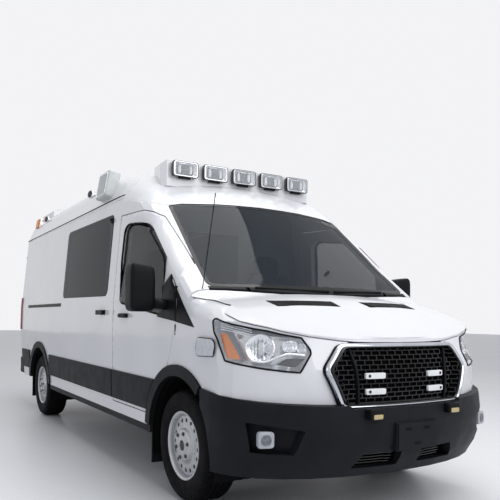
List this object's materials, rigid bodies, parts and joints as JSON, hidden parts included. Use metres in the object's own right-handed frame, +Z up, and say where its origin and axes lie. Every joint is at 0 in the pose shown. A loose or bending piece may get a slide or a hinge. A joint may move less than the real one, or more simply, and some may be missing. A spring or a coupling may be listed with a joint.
{
  "type": "ambulance",
  "caption": "Van-type ambulance with a raised roof, roof light header, hinged front and rear doors, fixed side door, hood, steered front wheels and turning wheels.",
  "frame": {"origin": "bottom centre of the bounding box, on the ground", "axes": "+X forward, +Y to the left of the driver, +Z up"},
  "size_m": [5.91, 2.48, 2.578],
  "materials": {
    "white_paint": "gloss",
    "dark_plastic": "grained",
    "black_plastic": "grained",
    "clear_glass": "clear",
    "dark_glass": "privacy tint",
    "chrome_trim": "polished",
    "lamp_lens": "clear",
    "red_lens": "clear",
    "floor_coat": "matt",
    "cabinet_board": "satin",
    "seat_cloth": "woven",
    "tyre_rubber": "matt",
    "wheel_steel": "silver",
    "dark_steel": "bare"
  },
  "bodies": {
    "body": {"floor_panel": "floor_coat", "side_left": "white_paint", "side_right": "white_paint", "roof": "white_paint", "roof_caps": "white_paint", "wings": "white_paint", "fascia": "white_paint", "cowl": "black_plastic", "windscreen": "clear_glass", "hinge_pins": "dark_steel", "sliding_door": "white_paint", "sliding_glass": "dark_glass", "sliding_hardware": "black_plastic", "cladding": "dark_plastic", "front_bumper": "dark_plastic", "front_lamps": "lamp_lens", "grille": "black_plastic", "grille_surround": "chrome_trim", "headlamps": "lamp_lens", "roof_lights": "lamp_lens", "tail_lamps": "red_lens", "rear_bumper": "dark_plastic", "interior": "cabinet_board", "dashboard": "black_plastic", "steering_wheel": "black_plastic", "seats": "seat_cloth", "chassis": "dark_steel", "rear_axle": "dark_steel", "underbody": "dark_steel", "engine": "dark_steel"},
    "hood": {"hood": "white_paint", "hood_fittings": "black_plastic"},
    "door_left": {"front_door_left": "white_paint", "front_glass_left": "clear_glass", "door_trim_left": "dark_plastic", "mirror_left": "black_plastic"},
    "door_right": {"front_door_right": "white_paint", "front_glass_right": "clear_glass", "door_trim_right": "dark_plastic", "mirror_right": "black_plastic"},
    "rear_left_door": {"rear_door_left": "white_paint", "rear_glass_left": "dark_glass", "rear_fittings_left": "black_plastic"},
    "rear_right_door": {"rear_door_right": "white_paint", "rear_glass_right": "dark_glass", "rear_fittings_right": "black_plastic"},
    "steer_left": {"knuckle_left": "dark_steel"},
    "steer_right": {"knuckle_right": "dark_steel"},
    "wheel_front_left": {"tyre_front_left": "tyre_rubber", "rim_front_left": "wheel_steel"},
    "wheel_front_right": {"tyre_front_right": "tyre_rubber", "rim_front_right": "wheel_steel"},
    "wheel_rear_left": {"tyre_rear_left": "tyre_rubber", "rim_rear_left": "wheel_steel"},
    "wheel_rear_right": {"tyre_rear_right": "tyre_rubber", "rim_rear_right": "wheel_steel"}
  },
  "joints": [
    {"name": "steering_left", "type": "hinge", "parent": "body", "child": "steer_left", "pos_m": [1.925, 0.69, 0.356], "axis": [0, 0, 1], "range_deg": [-32, 32]},
    {"name": "front_left_spin", "type": "hinge", "parent": "steer_left", "child": "wheel_front_left", "pos_m": [1.925, 0.866, 0.356], "axis": [0, 1, 0], "continuous": true},
    {"name": "rear_left_spin", "type": "hinge", "parent": "body", "child": "wheel_rear_left", "pos_m": [-1.825, 0.866, 0.356], "axis": [0, 1, 0], "continuous": true},
    {"name": "front_left_door", "type": "hinge", "parent": "body", "child": "door_left", "pos_m": [1.885, 1.012, 1.2], "axis": [0, 0, -1], "range_deg": [0, 70]},
    {"name": "rear_left_door", "type": "hinge", "parent": "body", "child": "rear_left_door", "pos_m": [-2.917, 0.924, 1.4], "axis": [0, 0, -1], "range_deg": [0, 170]},
    {"name": "steering_right", "type": "hinge", "parent": "body", "child": "steer_right", "pos_m": [1.925, -0.69, 0.356], "axis": [0, 0, 1], "range_deg": [-32, 32]},
    {"name": "front_right_spin", "type": "hinge", "parent": "steer_right", "child": "wheel_front_right", "pos_m": [1.925, -0.866, 0.356], "axis": [0, 1, 0], "continuous": true},
    {"name": "rear_right_spin", "type": "hinge", "parent": "body", "child": "wheel_rear_right", "pos_m": [-1.825, -0.866, 0.356], "axis": [0, 1, 0], "continuous": true},
    {"name": "front_right_door", "type": "hinge", "parent": "body", "child": "door_right", "pos_m": [1.885, -1.012, 1.2], "axis": [0, 0, 1], "range_deg": [0, 70]},
    {"name": "rear_right_door", "type": "hinge", "parent": "body", "child": "rear_right_door", "pos_m": [-2.917, -0.924, 1.4], "axis": [0, 0, 1], "range_deg": [0, 170]},
    {"name": "hood_hinge", "type": "hinge", "parent": "body", "child": "hood", "pos_m": [2.045, 0, 1.345], "axis": [0, -1, 0], "range_deg": [0, 45]}
  ],
  "couplings": [
    {"joint": "steering_right", "follows": "steering_left", "ratio": 1}
  ]
}
